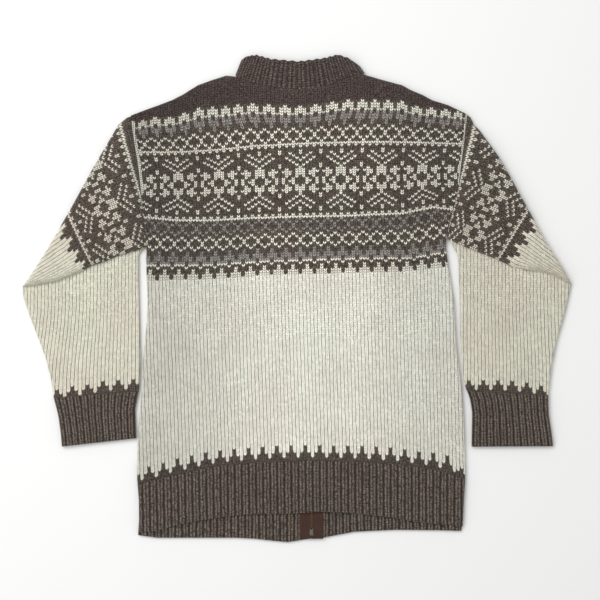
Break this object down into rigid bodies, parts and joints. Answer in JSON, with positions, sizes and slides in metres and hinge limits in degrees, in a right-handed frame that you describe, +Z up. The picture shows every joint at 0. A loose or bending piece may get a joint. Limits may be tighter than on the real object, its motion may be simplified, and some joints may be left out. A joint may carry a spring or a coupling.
{
  "type": "knitted zip cardigan",
  "caption": "Thick hand-knit wool zip cardigan lying flat on its front, patterned yoke and sleeves over a pale field, ribbed hem, cuffs and collar.",
  "frame": {"origin": "middle of the outline on the surface that the cardigan lies on", "axes": "+Y towards the collar, +X to the wearer's right, +Z up from the surface, out of the back panel"},
  "size_m": [0.8888, 0.7908, 0.015],
  "materials": {
    "patterned_wool": "coarse hairy stocking stitch",
    "brown_rib": "coarse hairy ribbing",
    "brown_tape": "woven tape, matt",
    "zip_metal": "dull plated metal",
    "zip_plastic": "pale moulded plastic"
  },
  "bodies": {
    "garment": {"back_panel": "patterned_wool", "front_left_panel": "patterned_wool", "front_right_panel": "patterned_wool", "sleeve_left": "patterned_wool", "sleeve_right": "patterned_wool", "hem_rib_back": "brown_rib", "hem_rib_front_left": "brown_rib", "hem_rib_front_right": "brown_rib", "cuff_left": "brown_rib", "cuff_right": "brown_rib", "collar": "brown_rib", "zip_tape_left": "brown_tape", "zip_tape_right": "brown_tape", "zip_chain": "zip_metal", "zip_box": "zip_plastic", "zip_slider": "zip_metal"},
    "pull_tab": {"zip_pull_tab": "zip_metal"}
  },
  "joints": [
    {"name": "pull_tab_swing", "type": "hinge", "parent": "garment", "child": "pull_tab", "pos_m": [0.01413, 0.30305, 0.00235], "axis": [1, 0, 0], "range_deg": [0, 150]}
  ]
}
